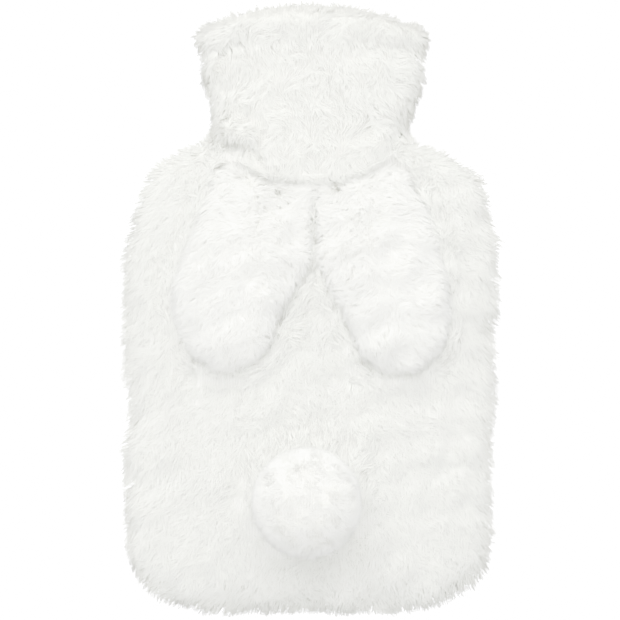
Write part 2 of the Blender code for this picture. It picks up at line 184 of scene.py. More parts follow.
def add_softbox(name, place, width, height, power):
    """A rectangular area light at a place, turned towards the cover."""
    data = bpy.data.lights.new(name, "AREA")
    data.shape = "RECTANGLE"
    data.size = width
    data.size_y = height
    data.energy = power
    data.color = SOFTBOX_COLOUR
    light = bpy.data.objects.new(name, data)
    light.location = place
    aim = Vector(COVER_MIDDLE) - Vector(place)
    light.rotation_euler = aim.to_track_quat("-Z", "Y").to_euler()
    bpy.context.scene.collection.objects.link(light)


add_softbox("top_softbox", (-0.25, 1.5, 1.95), width=2.6, height=1.2, power=116.0)
add_softbox("overhead_softbox", (0.0, 0.1, 2.8), width=2.4, height=2.4, power=44.0)

# ---------------------------------------------------------------------------
# The bag's front and back: two halves of long-pile polyester plush on a white
# knitted backing, sewn face to face round the sides and turned. The pile lies
# down towards the bottom edge and hides the seam.
# ---------------------------------------------------------------------------
KNIT_THICKNESS = 1.5 * MM
BAG_PILE_DEPTH = 4.2 * MM
HAIR_WIDTH = 0.56 * MM
ROOT_BELOW_CLOTH = 0.7 * MM
FLOOR_CLEARANCE = 0.2 * MM


def bare_copy(node, name):
    """A merged mesh of a CAD node in a new object."""
    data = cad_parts[node].data.copy()
    data.materials.clear()
    cloth = bpy.data.objects.new(name, data)
    bpy.context.scene.collection.objects.link(cloth)
    mesh = bmesh.new()
    mesh.from_mesh(data)
    bmesh.ops.remove_doubles(mesh, verts=mesh.verts, dist=0.01 * MM)
    bmesh.ops.recalc_face_normals(mesh, faces=mesh.faces)
    mesh.to_mesh(data)
    mesh.free()
    return cloth


def keep_faces(cloth, wanted):
    """Deletes every face of a piece for which wanted(middle, normal) is false."""
    mesh = bmesh.new()
    mesh.from_mesh(cloth.data)
    unwanted = [f for f in mesh.faces if not wanted(f.calc_center_median(), f.normal)]
    bmesh.ops.delete(mesh, geom=unwanted, context="FACES")
    mesh.to_mesh(cloth.data)
    mesh.free()


def finish_modifiers(piece):
    """Applies every modifier of a piece."""
    bpy.ops.object.select_all(action="DESELECT")
    bpy.context.view_layer.objects.active = piece
    piece.select_set(True)
    for modifier in list(piece.modifiers):
        bpy.ops.object.modifier_apply(modifier=modifier.name)


def skin_of(piece):
    """The triangles of a piece: corner places, corner normals, areas and a search tree."""
    data = piece.data
    data.calc_loop_triangles()
    count = len(data.loop_triangles)
    corners = np.empty(count * 3, dtype=np.int32)
    data.loop_triangles.foreach_get("vertices", corners)
    places = np.empty(len(data.vertices) * 3)
    data.vertices.foreach_get("co", places)
    normals = np.empty(len(data.vertices) * 3)
    data.vertices.foreach_get("normal", normals)
    places = places.reshape(-1, 3)[corners].reshape(count, 3, 3)
    normals = normals.reshape(-1, 3)[corners].reshape(count, 3, 3)
    edges = np.cross(places[:, 1] - places[:, 0], places[:, 2] - places[:, 0])
    tree = BVHTree.FromPolygons(
        [vertex.co for vertex in data.vertices], [face.vertices for face in data.polygons]
    )
    return places, normals, np.linalg.norm(edges, axis=1) / 2, tree


def unit(vectors):
    """Vectors at length one."""
    return vectors / np.maximum(np.linalg.norm(vectors, axis=1, keepdims=True), 1e-12)


def drift(places, span, seed):
    """Smooth ups and downs between about -1 and 1 that repeat at about one span."""
    rng = np.random.default_rng(seed)
    total = np.zeros(len(places))
    waves = 7
    for _ in range(waves):
        direction = rng.normal(size=3)
        direction *= 2 * math.pi * rng.uniform(0.6, 1.5) / span / np.linalg.norm(direction)
        total += np.sin(places @ direction + rng.uniform(0, 2 * math.pi))
    return total / math.sqrt(waves / 2) / 1.5


def scatter(skin, count, seed):
    """Evenly spread root places on a skin, with the normals there."""
    rng = np.random.default_rng(seed)
    places, normals, areas, tree = skin
    steps = (np.arange(count) + rng.random(count)) / count * areas.sum()
    face = np.minimum(np.searchsorted(np.cumsum(areas), steps), len(areas) - 1)
    first = (np.arange(count) * 0.7548776662 + rng.random(count) * 0.15) % 1.0
    second = (np.arange(count) * 0.5698402910 + rng.random(count) * 0.15) % 1.0
    root = np.sqrt(first)
    shares = np.stack([1 - root, root * (1 - second), root * second], axis=1)[:, :, None]
    return (places[face] * shares).sum(axis=1), unit((normals[face] * shares).sum(axis=1))


def towards_clumps(places, every, seed):
    """For each hair, the place of the nearest of the clumps that hairs gather in."""
    rng = np.random.default_rng(seed)
    chosen = rng.choice(len(places), max(len(places) // every, 1), replace=False)
    tree = KDTree(len(chosen))
    for index, hair in enumerate(chosen):
        tree.insert(places[hair], index)
    tree.balance()
    nearest = np.array([tree.find(place)[1] for place in places])
    return chosen[nearest]


HAIR_CORNERS = 3
HAIR_SHADES = 64
ROOT_FACE_MIDDLE = 0.05
EDGE_SHADE_ROUNDNESS = 3


def build_hairs(name, roots, tips, normals, roundness, crown, edge_shade, seed):
    """One mesh of thin three-sided hairs, each closed at its root and drawn to a point.

    They take most of their shading from the skin's own normals, as soft pile does, turned
    a little towards the open side, where light sinks into it, and less where it stands free
    at the cover's turned edges. There the tips take more of the darker root colour, as
    painted shade, and the hairs' own round normals count for more.
    """
    rng = np.random.default_rng(seed)
    count = len(roots)
    along = unit(tips - roots)
    side = unit(np.cross(along, rng.normal(size=(count, 3))))
    other = np.cross(along, side)
    widths = HAIR_WIDTH * rng.uniform(0.75, 1.25, size=(count, 1)) / 2
    corners = []
    outs = []
    for corner in range(HAIR_CORNERS):
        angle = 2 * math.pi * corner / HAIR_CORNERS
        out = side * math.cos(angle) + other * math.sin(angle)
        corners.append(roots + out * widths)
        outs.append(out)
    vertices = np.stack(corners + [tips], axis=1)
    per_hair = HAIR_CORNERS + 1
    # the faces of one hair: corner number, share round, share along
    faces = []
    for corner in range(HAIR_CORNERS):
        after = (corner + 1) % HAIR_CORNERS
        left = corner / HAIR_CORNERS
        right = (corner + 1) / HAIR_CORNERS
        tip = (HAIR_CORNERS, (left + right) / 2, 1.0)
        faces.append(((corner, left, 0.0), (after, right, 0.0), tip))
    faces.append(((2, 0.0, 0.0), (1, 0.5, ROOT_FACE_MIDDLE), (0, 1.0, 0.0)))
    loops = [corner for face in faces for corner in face]
    data = bpy.data.meshes.new(name)
    data.vertices.add(count * per_hair)
    data.vertices.foreach_set("co", vertices.astype(np.float32).ravel())
    first = (np.arange(count) * per_hair)[:, None]
    data.loops.add(count * len(loops))
    data.loops.foreach_set(
        "vertex_index", (first + np.array([c[0] for c in loops])).astype(np.int32).ravel()
    )
    data.polygons.add(count * len(faces))
    data.polygons.foreach_set("loop_start", np.arange(0, count * len(loops), 3, dtype=np.int32))
    data.polygons.foreach_set("use_smooth", np.ones(count * len(faces), dtype=bool))
    column = (np.arange(count) % HAIR_SHADES)[:, None]
    across = (column + np.array([c[1] for c in loops])[None, :]) / HAIR_SHADES
    # Painted shade: at turned edges and along the roll the map stops short of the tip, so the
    # hair keeps more of its darker root colour.
    up = np.array([c[2] for c in loops])[None, :] * (1 - edge_shade)[:, None]
    uv = data.uv_layers.new(name="OFBake")
    uv.data.foreach_set("uv", np.stack([across, up], axis=2).astype(np.float32).ravel())
    data.update(calc_edges=True)
    around = np.stack(outs + [np.zeros_like(tips)], axis=1)
    around *= (roundness * (1 + EDGE_SHADE_ROUNDNESS * edge_shade))[:, None, None]
    lean_up = np.sign(normals[:, 2]) * np.sqrt(np.abs(normals[:, 2])) * crown
    facing = normals + lean_up[:, None] * np.array([0.0, 0.0, 1.0])
    soft = unit((unit(facing)[:, None, :] + around).reshape(-1, 3))
    data.normals_split_custom_set_from_vertices(soft.astype(np.float32))
    pile = bpy.data.objects.new(name, data)
    bpy.context.scene.collection.objects.link(pile)
    return pile


SWELL_SPAN = 27 * MM
SWELL_SEED = 73


def swelling(places, normals, flow, height):
    """Places and normals once the pile swells and sinks gently along the cloth."""
    across = np.cross(normals, flow)
    step = 0.5 * MM
    rise = drift(places, SWELL_SPAN, SWELL_SEED) * height
    along = (drift(places + flow * step, SWELL_SPAN, SWELL_SEED) * height - rise) / step
    aside = (drift(places + across * step, SWELL_SPAN, SWELL_SEED) * height - rise) / step
    tilted = unit(normals - flow * along[:, None] - across * aside[:, None])
    return places + normals * rise[:, None], tilted


FAR_OFF = 1.0
ROOM_SEARCH = 30 * MM
RAY_START_BELOW = 0.5 * MM


def headroom(places, normals, blocks):
    """How far each place is from a block that hangs over it."""
    room = np.full(len(places), FAR_OFF)
    for block in blocks:
        for index in range(len(places)):
            start = Vector(places[index] - normals[index] * RAY_START_BELOW)
            gap = block.ray_cast(start, Vector(normals[index]), ROOM_SEARCH)[3]
            if gap is not None:
                room[index] = min(room[index], gap - RAY_START_BELOW)
    return room


LEAST_ROOM = 1.5 * MM
TIP_CLEARANCE = 0.8 * MM
TUFT_HAIRS = 12
TUFT_SPAN = 9 * MM
WIDE_TURN_SPAN = 46 * MM
NEAR_TURN_SPAN = 17 * MM
LEAN_SPAN = 24 * MM
STEEPEST_LEAN = 4
FLATTEST_LEAN = 80
HAIR_UNEVENNESS = 0.45 * MM
RUFFLED_TUFTS = 2.5
DEEPEST_TIP = 0.4


def grow_pile(
    name, skin, count, seed, length, lean, comb, depth,
    gather=0.35, tuft=0.42 * MM, swirl=1.0, swell=1.25 * MM, roundness=0.6, crown=0.9,
    edge_shading=0.85, blocks=(), lift=None, overhang=None, bulge=None, ruffle_and_shade=None,
):
    """Pile on a skin: hairs rooted at a depth under it whose tips end about level with it.

    lean is the hairs' usual angle from upright in degrees, comb the way they lie, gather
    how far tips draw together in tufts, tuft how unevenly those stand, swirl how much the
    lie changes from place to place and swell how far the pile rises and sinks. The edge
    shading share paints shade at turned edges by giving the tips more of the darker root
    colour, and the ruffle paints the same shade along the top of the roll, where locks stand
    apart and their tufts stand more unevenly. lift raises tips off the skin, overhang sends
    them on along their way, and bulge is how far cloth and pile rise together. Where a
    block hangs over the skin the hairs keep below it, and those it lies on are left out.
    """
    rng = np.random.default_rng(seed)
    places, normals = scatter(skin, count, seed)
    room = headroom(places, normals, blocks)
    free = room > LEAST_ROOM
    places, normals, room = places[free], normals[free], room[free]
    count = len(places)
    flow = comb(places, normals)
    flow = flow - normals * (flow * normals).sum(axis=1, keepdims=True)
    strength = np.clip(np.linalg.norm(flow, axis=1), 0.0, 1.0)
    flow = unit(flow)
    surface = places
    places, shading = swelling(places, normals, flow, swell)
    across = np.cross(normals, flow)
    clump = towards_clumps(places, TUFT_HAIRS, seed + 1)
    wide_turn = drift(places, WIDE_TURN_SPAN, seed + 2)
    near_turn = drift(places, NEAR_TURN_SPAN, seed + 3)
    turn = swirl * (0.5 * wide_turn + 0.45 * near_turn)
    turn = turn + 0.38 * rng.normal(size=count)[clump] + 0.2 * rng.normal(size=count)
    way = flow * np.cos(turn)[:, None] + across * np.sin(turn)[:, None]
    tilt = lean * (0.3 + 0.7 * strength) + 5 * drift(places, LEAN_SPAN, seed + 4)
    tilt += 6 * rng.normal(size=count)[clump] + 5 * rng.normal(size=count)
    flatness = np.sin(np.radians(np.clip(tilt, STEEPEST_LEAN, FLATTEST_LEAN)))
    reach = length * rng.uniform(0.85, 1.15, size=count) * flatness
    starts = places - way * reach[:, None]
    found = [skin[3].find_nearest(Vector(start)) for start in starts]
    roots = np.array([near[0] - near[1] * depth for near in found])
    # Painted shade at the turned edges, by more of the darker root colour.
    edge_shade = edge_shading * np.clip(1.2 - np.abs(normals[:, 2]) / 0.5, 0, 1)
    tuft = np.full(count, tuft)
    # Along the top of the roll the ruffle also paints that shade, besides making the tufts
    # uneven.
    if ruffle_and_shade is not None:
        edge_shade = np.maximum(edge_shade, ruffle_and_shade(surface) * edge_shading)
        tuft = tuft * (1 + RUFFLED_TUFTS * ruffle_and_shade(surface))
    stand = HAIR_UNEVENNESS * rng.normal(size=count) + tuft * rng.normal(size=count)[clump]
    stand += 0.6 * tuft * drift(places, TUFT_SPAN, seed + 6)
    if lift is not None:
        stand += lift(surface, normals)
    if bulge is not None:
        raised = np.clip(bulge(surface), 0, np.maximum(room - LEAST_ROOM, 0))
        places = places + normals * raised[:, None]
        roots = roots + normals * raised[:, None]
        room = room - raised
    stand = np.clip(stand, -DEEPEST_TIP * depth, room - TIP_CLEARANCE)
    tips = places + normals * stand[:, None]
    if overhang is not None:
        tips += way * (overhang(surface, normals) * rng.uniform(0.4, 1.1, size=count))[:, None]
    tips += (tips[clump] - tips) * gather * rng.uniform(0.3, 1.0, size=(count, 1))
    for points in (roots, tips):
        points[:, 2] = np.maximum(points[:, 2], FLOOR_CLEARANCE + HAIR_WIDTH / 2)
    return build_hairs(name, roots, tips, shading, roundness, crown, edge_shade, seed + 5)


def near_share(places, blocks, reach):
    """1 where a place touches a block, falling to 0 at a reach from it."""
    share = np.zeros(len(places))
    for block in blocks:
        for index, place in enumerate(places):
            distance = block.find_nearest(Vector(place), reach)[3]
            if distance is not None:
                share[index] = max(share[index], 1 - distance / reach)
    return share


# Heights in mm of the pile that stands off the edges: everywhere, more at the sides, and ragged
RIM_RISE = 3.8
RIM_RISE_ASIDE = 1.6
RIM_RAGGED = 2.8
RAGGED_SPAN = 1.3 * MM
WAVY_SPAN = 6 * MM
# Where it stands out furthest: place aside and along, reach and extra height in mm
LOOSE_PILE = ((105.0, -11.0, 18.0, 5.0), (108.0, 55.0, 16.0, 3.5), (90.0, -158.0, 12.0, 6.5))


def rise_at_rim(places, normals):
    """Pile stands off the cover's turned edges and makes their outline shaggy."""
    turned = np.clip(1 - np.abs(normals[:, 2]) / 0.55, 0, 1)
    ragged = np.abs(drift(places, RAGGED_SPAN, 71)) + 0.6 * np.abs(drift(places, WAVY_SPAN, 72))
    loose = RIM_RISE + RIM_RISE_ASIDE * np.abs(normals[:, 0]) + RIM_RAGGED * ragged
    for aside, along, reach, more in LOOSE_PILE:
        gap = np.hypot(places[:, 0] / MM - aside, places[:, 1] / MM - along)
        loose = loose + more * np.exp(-((gap / reach) ** 2))
    return turned * loose * MM


PAINTED_ROOT_SHADE_ENDS = 0.12
TIP_COLOUR_STARTS = 0.55


def plush_material(name, shaded_root_code, tip_code, shade_at_root=0.68):
    """Polyester pile, drawn and heat-set: white fibres, painted darker and a little warmer
    towards the root as painted shade deep in the pile.

    The colour follows each hair's own map from root to tip, with a slight change from hair
    to hair. The very root is painted darker still, as painted shade, since light hardly reaches
    it.
    """
    material, tree, shader = new_material(name)
    place = add_node(tree, "ShaderNodeUVMap", {"uv_map": "OFBake"})
    split = add_node(tree, "ShaderNodeSeparateXYZ", links={"Vector": place.outputs["UV"]})
    # The ramp paints shade deep in the pile: darker towards each hair's root, darkest at the
    # very root.
    ramp = add_node(tree, "ShaderNodeValToRGB", links={"Fac": split.outputs["Y"]})
    ramp.color_ramp.elements[0].color = linear(shaded_root_code)
    ramp.color_ramp.elements[1].color = linear(tip_code)
    ramp.color_ramp.elements[0].position = PAINTED_ROOT_SHADE_ENDS
    ramp.color_ramp.elements[1].position = TIP_COLOUR_STARTS
    painted_root_shade = [share * shade_at_root for share in linear(shaded_root_code)[:3]]
    ramp.color_ramp.elements.new(0.0).color = painted_root_shade + [1.0]
    column = add_node(
        tree, "ShaderNodeMath", {"operation": "MULTIPLY", 1: HAIR_SHADES},
        {0: split.outputs["X"]},
    )
    whole = add_node(tree, "ShaderNodeMath", {"operation": "FLOOR"}, {0: column.outputs[0]})
    chance = add_node(
        tree, "ShaderNodeTexWhiteNoise", {"noise_dimensions": "1D"}, {"W": whole.outputs[0]}
    )
    shade = add_node(
        tree, "ShaderNodeMapRange", {"To Min": 0.95, "To Max": 1.0},
        {"Value": chance.outputs["Value"]},
    )
    tint = add_node(
        tree, "ShaderNodeHueSaturation",
        links={"Color": ramp.outputs["Color"], "Value": shade.outputs["Result"]},
    )
    tree.links.new(tint.outputs["Color"], shader.inputs["Base Color"])
    shader.inputs["Roughness"].default_value = 0.75
    shader.inputs["Specular IOR Level"].default_value = 0.25
    shader.inputs["Sheen Weight"].default_value = 0.15
    shader.inputs["Sheen Roughness"].default_value = 0.5
    return material


KNIT_ROW = 1.6 * MM
WAVE_RADIANS = 20  # what the wave texture turns in a metre at scale 1


def knit_material(name, groove_shade_code, code):
    """Weft-knitted polyester backing: matt rows of small loops, with the grooves between them
    painted darker as painted shade.

    The rows are drawn 1.6 mm apart so that they show.
    """
    material, tree, shader = new_material(name)
    place = add_node(tree, "ShaderNodeTexCoord")
    scale = 2 * math.pi / (WAVE_RADIANS * KNIT_ROW)
    loops = add_node(
        tree, "ShaderNodeTexWave", {"Scale": scale, "Distortion": 1.5, "Detail": 2.0},
        {"Vector": place.outputs["Object"]},
    )
    # Painted shade: the grooves between the rows take the darker colour.
    ramp = add_node(tree, "ShaderNodeValToRGB", links={"Fac": loops.outputs["Fac"]})
    ramp.color_ramp.elements[0].color = linear(groove_shade_code)
    ramp.color_ramp.elements[1].color = linear(code)
    tree.links.new(ramp.outputs["Color"], shader.inputs["Base Color"])
    bump = add_node(
        tree, "ShaderNodeBump", {"Strength": 0.5, "Distance": 0.3 * MM},
        {"Height": loops.outputs["Fac"]},
    )
    tree.links.new(bump.outputs["Normal"], shader.inputs["Normal"])
    shader.inputs["Roughness"].default_value = 0.9
    return material


def block_of(*nodes):
    """Ray-casting trees of the CAD nodes that lie on a skin."""
    trees = []
    for node in nodes:
        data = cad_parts[node].data
        places = [vertex.co for vertex in data.vertices]
        faces = [face.vertices for face in data.polygons]
        trees.append(BVHTree.FromPolygons(places, faces))
    return trees


def sink(cloth, depth, on_seam=None):
    """Moves a cloth's vertices in along their normals.

    Those on its neck seam move in without going along y, so that the seam stays closed.
    """
    mesh = bmesh.new()
    mesh.from_mesh(cloth.data)
    mesh.normal_update()
    ways = []
    for vertex in mesh.verts:
        way = vertex.normal.copy()
        if on_seam is not None and on_seam(vertex.co, vertex.normal):
            way.y = 0.0
            away = Vector((vertex.co.x * 0.5, 0.0, vertex.co.z - SIDE_SEAM_HEIGHT))
            way = way.normalized() if way.dot(away) > 0.3 * away.length else way * 0.0
        ways.append(way)
    for vertex, way in zip(mesh.verts, ways):
        vertex.co -= way * depth
    mesh.to_mesh(cloth.data)
    mesh.free()


def thicken(cloth, thickness):
    """Gives a cloth its thickness, inwards."""
    wall = cloth.modifiers.new("wall", "SOLIDIFY")
    wall.thickness = thickness
    wall.offset = -1.0
    finish_modifiers(cloth)
    for face in cloth.data.polygons:
        face.use_smooth = True


BAG_INSIDE_HALF_WIDTH = 55 * MM
BAG_INSIDE_ENDS = (-125 * MM, 140 * MM)
LOOKS_OUT = 0.25


def faces_out_of_bag(middle, normal):
    """True for the bag's outer face: it looks away from the middle of the hollow."""
    heart = Vector((
        min(max(middle.x, -BAG_INSIDE_HALF_WIDTH), BAG_INSIDE_HALF_WIDTH),
        min(max(middle.y, BAG_INSIDE_ENDS[0]), BAG_INSIDE_ENDS[1]),
        SIDE_SEAM_HEIGHT,
    ))
    away = middle - heart
    return normal.dot(away) > LOOKS_OUT * away.length


NECK_STARTS = 87 * MM
NECK_HALF_WIDTH = 57 * MM
FRONT_STARTS = 45 * MM


def on_neck_seam(place, normal):
    """True at the bag's open end, where the collar is sewn on, behind and at the sides."""
    at_neck = place.y > NECK_STARTS and abs(place.x) < NECK_HALF_WIDTH
    return at_neck and normal.y > 0.5 and place.z < FRONT_STARTS


def cloth_of_bag(middle, normal):
    """True for the bag's outer face and for its open end."""
    return faces_out_of_bag(middle, normal) or on_neck_seam(middle, normal)


COMB_WIDTH = 90 * MM
COMB_SPREAD = 0.45


def comb_down(places, _):
    """Pile brushed towards the bottom edge and a little outwards."""
    flow = np.zeros_like(places)
    flow[:, 1] = -1.0
    flow[:, 0] = places[:, 0] / COMB_WIDTH * COMB_SPREAD
    return flow


LIP_MIDDLE = 77.2 * MM
LIP_CURVE = 7.0
LIP_SOFTNESS = 15 * MM


def under_lip(places):
    """1 at the collar's hanging lip, falling to 0 a little below it."""
    lip = LIP_MIDDLE + LIP_CURVE * places[:, 0] ** 2
    return np.clip(1 - (lip - places[:, 1]) / LIP_SOFTNESS, 0, 1)


CROWDED_REACH = 6 * MM
CROWDED_SPAN = 1.5 * MM
CROWDED_RISE = 3 * MM
EARS_REACH = 16 * MM
TAIL_BULGE_REACH = 18 * MM
# How high the cloth swells by the ears, by the tail and under the lip, in mm
BULGES = (9, 10, 4.5)


def rise_on_front(places, normals):
    """The bag's pile crowds up against the ears and the tail."""
    close = near_share(places, ears_on_front + tail_on_front, CROWDED_REACH)
    uneven = np.abs(drift(places, CROWDED_SPAN, 74))
    return rise_at_rim(places, normals) + close * uneven * CROWDED_RISE


def bulge_on_front(places):
    """The bag's cloth swells up round the ears, the tail and the lip, which press into it."""
    by_ears = near_share(places, ears_on_front, EARS_REACH)
    by_tail = near_share(places, tail_on_front, TAIL_BULGE_REACH)
    shares = (by_ears, by_tail, under_lip(places))
    return sum(
        share ** 2 * (3 - 2 * share) * height * MM for share, height in zip(shares, BULGES)
    )


TAIL_MIDDLE_Y = -110 * MM
TAIL_COVER = 9 * MM


def hang_over_tail(places, _):
    """Pile above the tail runs on over its top edge."""
    above = places[:, 1] > TAIL_MIDDLE_Y
    return near_share(places, tail_on_front, TAIL_COVER) * above * TAIL_COVER


# Painted shade: the pile's darker root colour stands for shade deep in the pile, and the knit's
# darker groove colour for shade between its rows.
white_plush = plush_material("white_long_pile_plush", "#CCCBC4", "#F6F7EF")
white_knit = knit_material("white_knitted_backing", "#E2E0DA", "#F4F3EF")


def outer_skin(node, wanted):
    """The skin of those faces of a node that carry pile."""
    outer = bare_copy(node, node + "_skin")
    keep_faces(outer, wanted)
    skin = skin_of(outer)
    bpy.data.objects.remove(outer)
    return skin


def swell_cloth(cloth, bulge, blocks):
    """Raises a cloth by the bulge that its pile has, as far as there is room."""
    vertices = cloth.data.vertices
    places = np.array([vertex.co for vertex in vertices])
    normals = np.array([vertex.normal for vertex in vertices])
    room = headroom(places, normals, blocks) - BAG_PILE_DEPTH - LEAST_ROOM
    raised = np.clip(bulge(places), 0, np.maximum(room, 0))
    vertices.foreach_set("co", (places + normals * raised[:, None]).astype(np.float32).ravel())
    cloth.data.update()


def dress_panel(node, hairs, seed, lift, blocks=(), overhang=None, bulge=None):
    """Cloth and pile of one half of the bag."""
    skin = outer_skin(node, faces_out_of_bag)
    cloth = bare_copy(node, node + "_cloth")
    keep_faces(cloth, cloth_of_bag)
    if bulge is not None:
        swell_cloth(cloth, bulge, blocks)
    sink(cloth, BAG_PILE_DEPTH, on_neck_seam)
    thicken(cloth, KNIT_THICKNESS)
    cloth.data.materials.append(white_knit)
    piles = []
    for part in range(len(hairs)):
        piles.append(grow_pile(
            f"{node}_pile_{part + 1}", skin, hairs[part], seed + 20 * part, BAG_PILE_LENGTH,
            BAG_PILE_LEAN, comb_down, BAG_PILE_DEPTH + ROOT_BELOW_CLOTH,
            blocks=blocks, lift=lift, overhang=overhang, bulge=bulge,
        ))
    for piece in (cloth, *piles):
        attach(piece, "root")
        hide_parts(node)
    for pile in piles:
        pile.data.materials.append(white_plush)


BAG_PILE_LENGTH = 10 * MM
BAG_PILE_LEAN = 62

ears_on_front = block_of("ear_left", "ear_right")
tail_on_front = block_of("tail")
dress_panel(
    "front_panel", hairs=(49000, 49000), seed=100, lift=rise_on_front,
    blocks=ears_on_front + tail_on_front, overhang=hang_over_tail, bulge=bulge_on_front,
)
dress_panel("back_panel", hairs=(34000,), seed=200, lift=rise_at_rim)

# ---------------------------------------------------------------------------
# The collar: a tube of the same plush sewn round the neck. Its top edge is
# turned in and stitched down, so it stands as a soft roll with a groove below.
# ---------------------------------------------------------------------------
COLLAR_PILE_DEPTH = 3.6 * MM
COLLAR_PILE_LENGTH = 8.5 * MM
COLLAR_PILE_LEAN = 60
COLLAR_CLOTH_THICKNESS = 1.2 * MM
COLLAR_HEM_INSIDE = 150 * MM


def shows_on_collar(middle, normal):
    """True for the collar's outside, its lip, its roll and the turned-in hem."""
    away = Vector((middle.x * 0.5, 0.0, middle.z - SIDE_SEAM_HEIGHT))
    return normal.dot(away) > 0.0 or middle.y > COLLAR_HEM_INSIDE


COLLAR_SEAM_ENDS = 110 * MM


def on_collar_seam(place, normal):
    """True at the collar's lower end, where it is sewn to the bag, behind and at the sides."""
    return normal.y < -0.5 and place.y < COLLAR_SEAM_ENDS and place.z < FRONT_STARTS


def cloth_of_collar(middle, normal):
    """True for the faces that carry pile and for the lower end."""
    return shows_on_collar(middle, normal) or on_collar_seam(middle, normal)


COLLAR_HALF_WIDTH = 60 * MM
ROLL_STARTS = 168 * MM


def comb_collar(places, _):
    """Pile brushed down the collar, and up over its top edge."""
    flow = np.zeros_like(places)
    flow[:, 1] = -1.0
    flow[:, 2] = 0.15
    flow[:, 0] = places[:, 0] / COLLAR_HALF_WIDTH * 0.4
    rim = places[:, 1] > ROLL_STARTS
    flow[rim, 1] = 0.6
    return flow


FOLDS_START_HEIGHT = 38 * MM
FOLDS_FULL_OVER = 10 * MM

# Creases and swells of the gathered cloth: where they run, their reach and their height
COLLAR_FOLDS = (
    (((-64.0, 154.0), (-50.0, 155.0), (-30.0, 156.0)), 6.0, 1.6),
    (((44.0, 152.5), (56.0, 152.0), (68.0, 150.0)), 2.4, -1.6),
    (((-60.0, 134.0), (-54.0, 126.0)), 6.0, -2.0),
    (((-48.0, 125.5), (-40.0, 125.0)), 2.2, -2.2),
    (((-46.0, 116.0), (-38.0, 113.0), (-31.0, 108.5), (-27.5, 102.0)), 2.8, -3.8),
    (((-45.0, 103.5), (-37.0, 100.5)), 7.0, 5.5),
    (((-50.0, 94.5), (-41.0, 91.0), (-34.0, 90.0), (-29.0, 85.0)), 3.0, -5.0),
    (((2.0, 131.0), (10.0, 122.0), (16.0, 112.0)), 3.5, -1.6),
    (((16.0, 134.0), (26.0, 122.0), (34.0, 116.0)), 8.0, 1.6),
    (((18.0, 96.0), (30.0, 99.0), (46.0, 104.0)), 3.0, -1.8),
    (((22.0, 104.0), (40.0, 110.0)), 3.5, 1.4),
    (((-14.0, 96.0), (-10.0, 86.0)), 5.0, -1.6),
    (((60.0, 118.0), (50.0, 108.0)), 3.0, -1.6),
)


def collar_relief(places):
    """How far the folds raise the collar's front at each place."""
    height = np.zeros(len(places))
    flat = places[:, :2] / MM
    for line, reach, rise in COLLAR_FOLDS:
        nearest = np.full(len(places), 1e9)
        for start, end in zip(line[:-1], line[1:]):
            start, end = np.array(start), np.array(end)
            way = end - start
            share = np.clip((flat - start) @ way / (way @ way), 0, 1)
            gap = np.linalg.norm(flat - start - share[:, None] * way, axis=1)
            nearest = np.minimum(nearest, gap)
        height += rise * MM * np.exp(-((nearest / reach) ** 2))
    return height * np.clip((places[:, 2] - FOLDS_START_HEIGHT) / FOLDS_FULL_OVER, 0, 1)


COLLAR_SHAGGINESS = 0.55


def rise_on_collar(places, normals):
    """The collar's edges are less shaggy than the bag's."""
    return COLLAR_SHAGGINESS * rise_at_rim(places, normals)


ROLL_TOP = 178.5 * MM
ROLL_BOW = 11 * MM
RUFFLE_FADES_OVER = 5 * MM


def ruffle_and_shade_on_roll(places):
    """1 along the top of the roll, where the pile stands up in separate locks and its tips are
    painted darker as painted shade.
    """
    top = ROLL_TOP - ROLL_BOW * (places[:, 0] / COLLAR_HALF_WIDTH) ** 2
    return np.clip((places[:, 1] - top) / RUFFLE_FADES_OVER + 1.6, 0, 1)


COLLAR_END = 100.5 * MM
LIP_REACH = 9 * MM
LIP_LOCK_SPAN = 10 * MM


def hang_over_lip(places, _):
    """The collar's lowest pile hangs on past its lip.

    Behind and at the sides it hangs over the neck seam.
    """
    lip = LIP_MIDDLE + LIP_CURVE * places[:, 0] ** 2
    edge = np.clip(1 - np.abs(places[:, 1] - lip) / LIP_REACH, 0, 1)
    uneven = 4.5 + 3.5 * drift(places, LIP_LOCK_SPAN, 91)
    seam = np.clip(1 - (places[:, 1] - COLLAR_END) / LIP_REACH, 0, 1)
    return np.where(places[:, 2] > FRONT_STARTS, edge * uneven, seam * 9) * MM


folded = bare_copy("collar", "collar_skin")
keep_faces(folded, shows_on_collar)
fine = folded.modifiers.new("fine", "SUBSURF")
fine.levels = 2
fine.render_levels = 2
finish_modifiers(folded)
relief = collar_relief(np.array([vertex.co for vertex in folded.data.vertices]))
raised = [
    vertex.co + vertex.normal * height
    for vertex, height in zip(folded.data.vertices, relief)
]
for vertex, place in zip(folded.data.vertices, raised):
    vertex.co = place
folded.data.update()
collar_skin = skin_of(folded)
bpy.data.objects.remove(folded)
collar_cloth = bare_copy("collar", "collar_cloth")
keep_faces(collar_cloth, cloth_of_collar)
sink(collar_cloth, COLLAR_PILE_DEPTH, on_collar_seam)
for vertex in collar_cloth.data.vertices:
    dip = collar_relief(np.array([vertex.co]))[0]
    vertex.co -= vertex.normal * max(-dip, 0.0)
thicken(collar_cloth, COLLAR_CLOTH_THICKNESS)
for vertex in collar_cloth.data.vertices:
    vertex.co.z = max(vertex.co.z, FLOOR_CLEARANCE)
